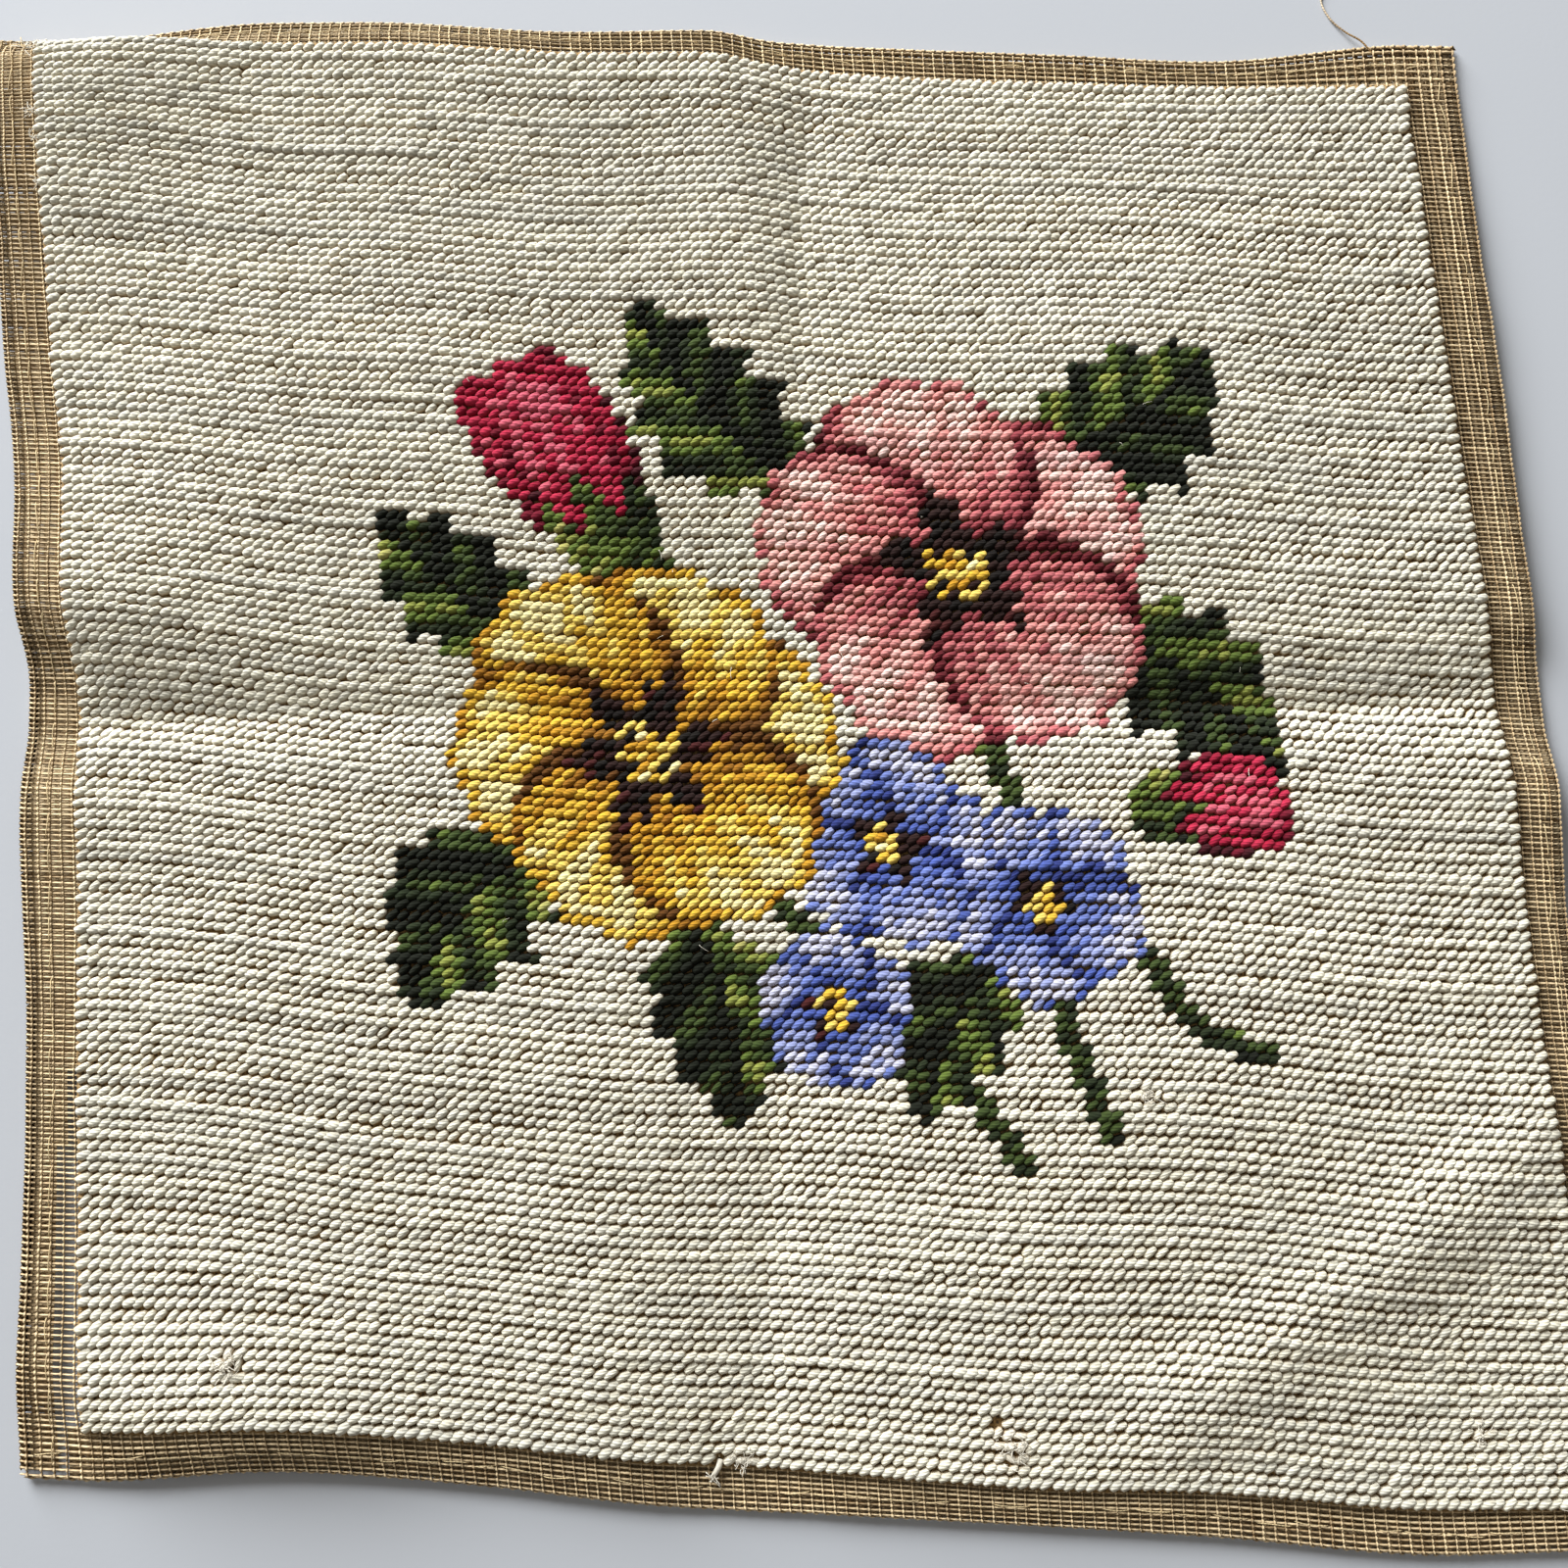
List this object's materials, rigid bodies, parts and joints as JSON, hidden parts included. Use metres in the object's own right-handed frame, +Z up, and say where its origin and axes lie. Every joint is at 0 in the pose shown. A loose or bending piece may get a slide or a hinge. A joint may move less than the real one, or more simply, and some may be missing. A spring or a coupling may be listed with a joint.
{
  "type": "needlepoint canvas panel",
  "caption": "Hemmed needlepoint canvas with a cream wool ground and a spray of flowers, lying flat and a little out of square.",
  "frame": {"origin": "middle of the canvas's box in plan, on the surface that the panel lies on", "axes": "+Z up, away from the surface and out of the worked face; +X to the right and +Y to the top of the motif, with the rows of stitches falling about three degrees to the right"},
  "size_m": [0.4078, 0.4028, 0.0119],
  "materials": {
    "canvas": "sized cotton double-thread canvas, tan",
    "wool": "cream tapestry wool with a motif in coloured wools",
    "wool_reverse": "the same wools on the wrong side",
    "canvas_thread": "one ravelled cotton canvas thread"
  },
  "bodies": {
    "root": {"canvas": "canvas", "wool_face": "wool", "wool_back": "wool_reverse", "loose_thread": "canvas_thread"}
  },
  "joints": []
}
